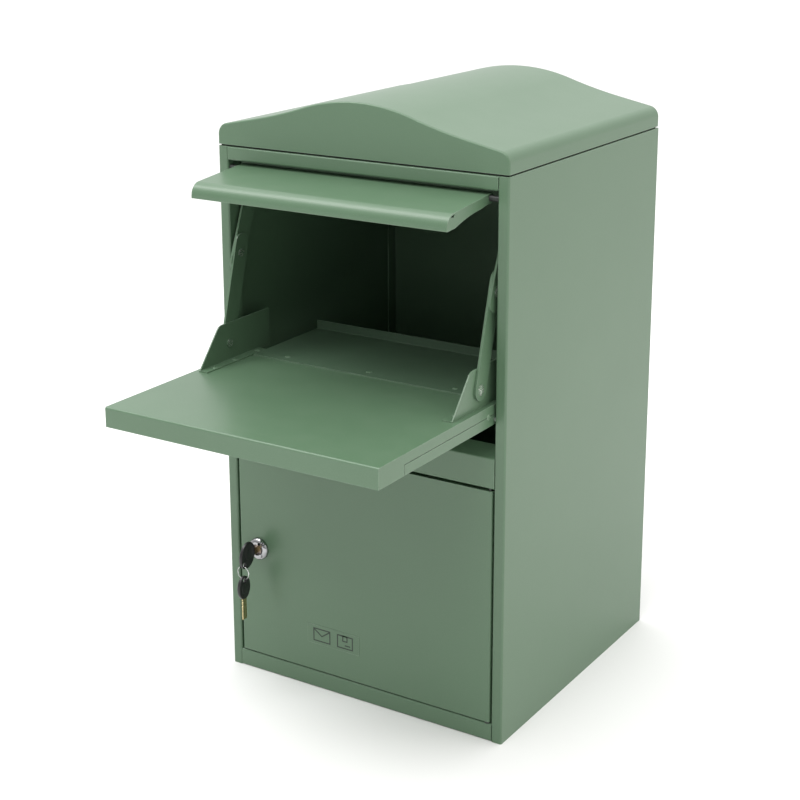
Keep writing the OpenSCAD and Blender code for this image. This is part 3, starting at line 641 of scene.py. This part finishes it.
moulding = Finish("key_head_plastic")
mould_grain = moulding.grain(0.0006, detail=2)
handled = moulding.grain(0.008, detail=5)
moulding.set(Base_Color=moulding.blend(colour(0.006, 0.006, 0.007), colour(0.014, 0.014, 0.015), handled),
             Roughness=0.24 + handled * 0.14,
             Normal=moulding.bump(mould_grain, 0.2, 0.00006))
dress("key_blade", brass.material)
dress("spare_key_blade", brass.material)

HEAD_THICKNESS = 0.0044
HEAD_EDGE = 0.0014
BADGE_THICKNESS = 0.005
BADGE_EDGE = 0.0005
HOLE_RADIUS = 0.003
HOLE_STEPS = 20
HEAD_WIDTH = 0.028
HEAD_HEIGHT = 0.035
HEAD_TILT = math.radians(-20)
HEAD_HOLE_HEIGHT = 0.1605
SPARE_WIDTH = 0.023
SPARE_HEIGHT = 0.031
SPARE_HOLE_RISE = 0.01
BADGE_SHIFT = 0.16
BADGE_WIDTH_SHARE = 0.52
BADGE_HEIGHT_SHARE = 0.42


def oval(centre, width, height, tilt, steps=40):
    """Points of an oval in the (y, z) plane."""
    points = []
    for step in range(steps):
        angle = 2 * math.pi * step / steps
        reach = Vector((math.cos(angle) * width / 2, math.sin(angle) * height / 2))
        reach.rotate(Matrix.Rotation(tilt, 2))
        points.append(centre + reach)
    return points


def moulded(outlines, thickness, edge):
    """A plate with rounded edges at x = lock_x, from (y, z) outlines; a second outline is a hole."""
    outline = bpy.data.curves.new("key_head_outline", "CURVE")
    outline.dimensions = "2D"
    outline.fill_mode = "BOTH"
    outline.extrude = thickness / 2 - edge
    outline.bevel_depth = edge
    outline.bevel_resolution = 4
    outline.offset = -edge
    for points in outlines:
        spline = outline.splines.new("POLY")
        spline.points.add(len(points) - 1)
        for place, point in zip(spline.points, points):
            place.co = (point.x, point.y, 0, 1)
        spline.use_cyclic_u = True
    holder = bpy.data.objects.new("key_head_outline", outline)
    bpy.context.scene.collection.objects.link(holder)
    solid = bpy.data.meshes.new_from_object(holder)
    bpy.data.objects.remove(holder)
    # The drawing's x and y become the part's y and z.
    solid.transform(Matrix(((0, 0, 1, lock_x), (1, 0, 0, 0), (0, 1, 0, 0), (0, 0, 0, 1))))
    return solid


def key_head(name, node, body, centre, hole, width, height, tilt):
    """An oval moulded head with a ring hole and a raised oval badge on both faces."""
    shape = bmesh.new()
    ring_hole = oval(hole, 2 * HOLE_RADIUS, 2 * HOLE_RADIUS, 0, HOLE_STEPS)
    shape.from_mesh(moulded([oval(centre, width, height, tilt), ring_hole], HEAD_THICKNESS, HEAD_EDGE))
    badge_centre = centre + (centre - hole) * BADGE_SHIFT
    badge = oval(badge_centre, width * BADGE_WIDTH_SHARE, height * BADGE_HEIGHT_SHARE, tilt)
    shape.from_mesh(moulded([badge], BADGE_THICKNESS, BADGE_EDGE))
    bmesh.ops.remove_doubles(shape, verts=shape.verts, dist=WELD_GAP)
    made(name, shape, body, moulding.material, [node])


head_low, head_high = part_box("key_bow")
spare_low, spare_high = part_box("spare_key_bow")
ring_low, ring_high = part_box("key_ring")
ring_y = (ring_low.y + ring_high.y) / 2
head_centre = Vector(((head_low.y + head_high.y) / 2, (head_low.z + head_high.z) / 2))
spare_centre = Vector(((spare_low.y + spare_high.y) / 2, (spare_low.z + spare_high.z) / 2))
key_head("key_head", "key_bow", "key", head_centre, Vector((ring_y, HEAD_HOLE_HEIGHT)),
         HEAD_WIDTH, HEAD_HEIGHT, HEAD_TILT)
key_head("spare_key_head", "spare_key_bow", "spare_key", spare_centre,
         Vector((ring_y, spare_centre.y + SPARE_HOLE_RISE)), SPARE_WIDTH, SPARE_HEIGHT, 0)

# The split ring is hard wire wound in two close turns.
spring_wire = Finish("nickelled_spring_wire")
drawn = spring_wire.grain(0.0015, detail=3)
spring_wire.set(Base_Color=spring_wire.blend(colour(0.66, 0.67, 0.68), colour(0.82, 0.82, 0.82), drawn),
                Metallic=1.0,
                Roughness=0.14 + drawn * 0.12,
                Normal=spring_wire.bump(drawn, 0.1, 0.00003))
WIRE = 0.00072
TURNS = 2
RING_STEPS = 72
WIRE_END = math.radians(200)
CRANK_START = 0.46
CRANK_SHARE = 0.08
wire_line = bpy.data.curves.new("split_ring", "CURVE")
wire_line.dimensions = "3D"
wire_line.bevel_depth = WIRE / 2
wire_line.bevel_resolution = 4
wire_line.use_fill_caps = True
loop = wire_line.splines.new("POLY")
loop.points.add(RING_STEPS * TURNS - 2)
ring_radius = (ring_high.x - ring_low.x) / 2 - WIRE
ring_z = (ring_low.z + ring_high.z) / 2
for index, place in enumerate(loop.points):
    turn = 2 * math.pi * index / RING_STEPS + WIRE_END
    wind = index / (len(loop.points) - 1)
    # The wire steps from the first turn to the second over a short crank.
    crank = max(0.0, min(1.0, (wind - CRANK_START) / CRANK_SHARE))
    place.co = (lock_x + ring_radius * math.cos(turn), ring_y + (crank - 0.5) * WIRE,
                ring_z + ring_radius * math.sin(turn), 1)
wire_holder = bpy.data.objects.new("split_ring_line", wire_line)
bpy.context.scene.collection.objects.link(wire_holder)
wound = bmesh.new()
wound.from_mesh(bpy.data.meshes.new_from_object(wire_holder))
bpy.data.objects.remove(wire_holder)
made("split_ring", wound, "ring", spring_wire.material, ["key_ring"])
